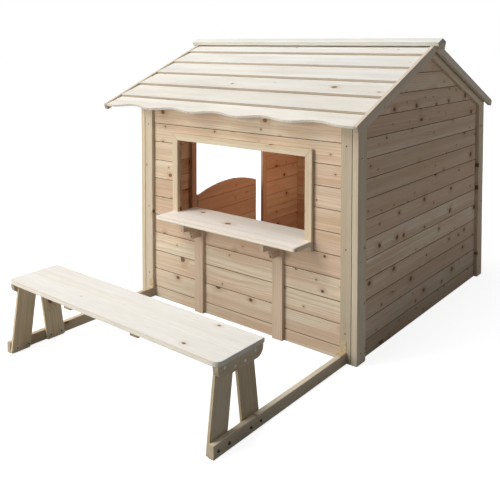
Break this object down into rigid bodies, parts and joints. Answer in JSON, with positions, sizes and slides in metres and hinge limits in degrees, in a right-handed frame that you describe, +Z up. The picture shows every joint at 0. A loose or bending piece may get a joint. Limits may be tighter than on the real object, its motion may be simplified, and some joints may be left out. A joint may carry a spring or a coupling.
{
  "type": "playhouse",
  "caption": "Bare softwood play house with lapped board walls, wavy eaves, a serving window with shelf, an arched half door and a plank bench on ground rails.",
  "frame": {"origin": "centre of the whole set's footprint, on the ground", "axes": "+X along the front wall towards its right end, +Y from the front wall to the back wall, +Z up; the bench stands on the -Y side and the door is in the -X wall"},
  "size_m": [1.674, 2.4501, 1.4179],
  "materials": {
    "wall_pine": "planed bare softwood",
    "trim_pine": "planed bare softwood",
    "roof_pine": "sawn bare softwood",
    "bench_pine": "planed bare softwood",
    "steel": "zinc plated, dull"
  },
  "bodies": {
    "house": {"angle_plate_left": "steel", "angle_plate_right": "steel", "back_batten_left": "trim_pine", "back_batten_right": "trim_pine", "back_eave_board": "roof_pine", "back_rafters": "trim_pine", "back_roof_boards": "roof_pine", "back_verge_strips": "roof_pine", "back_wall_boards": "wall_pine", "bench_cleat_left": "bench_pine", "bench_cleat_right": "bench_pine", "bench_legs_left": "bench_pine", "bench_legs_right": "bench_pine", "bench_mid_cleats": "bench_pine", "bench_seat": "bench_pine", "cleat_screws_left": "steel", "cleat_screws_right": "steel", "door_header": "wall_pine", "door_posts": "wall_pine", "door_trim_top": "trim_pine", "door_trims": "trim_pine", "front_batten_left": "trim_pine", "front_batten_right": "trim_pine", "front_eave_board": "roof_pine", "front_rafters": "trim_pine", "front_roof_boards": "roof_pine", "front_verge_strips": "roof_pine", "front_wall_boards": "wall_pine", "ground_rail_left": "bench_pine", "ground_rail_right": "bench_pine", "hinge_frame_leaves": "steel", "hinge_pins": "steel", "left_batten_back": "trim_pine", "left_batten_front": "trim_pine", "left_rakes": "trim_pine", "left_wall_boards": "wall_pine", "rail_bolts_left": "steel", "rail_bolts_right": "steel", "rail_nuts_left": "steel", "rail_nuts_right": "steel", "ridge_cap_back": "roof_pine", "ridge_cap_front": "roof_pine", "ridge_end_blocks": "roof_pine", "right_batten_back": "trim_pine", "right_batten_front": "trim_pine", "right_rakes": "trim_pine", "right_wall_boards": "wall_pine", "serving_shelf": "trim_pine", "shelf_batten_left": "trim_pine", "shelf_batten_right": "trim_pine", "shelf_bracket_left": "trim_pine", "shelf_bracket_right": "trim_pine", "window_frame_left": "trim_pine", "window_frame_right": "trim_pine", "window_frame_top": "trim_pine"},
    "door": {"door_boards": "wall_pine", "door_stiles": "trim_pine", "hinge_door_leaves": "steel"}
  },
  "joints": [
    {"name": "door_hinge", "type": "hinge", "parent": "house", "child": "door", "pos_m": [-0.571, 0.0597, 0.25], "axis": [0, 0, 1], "range_deg": [-3, 100]}
  ]
}
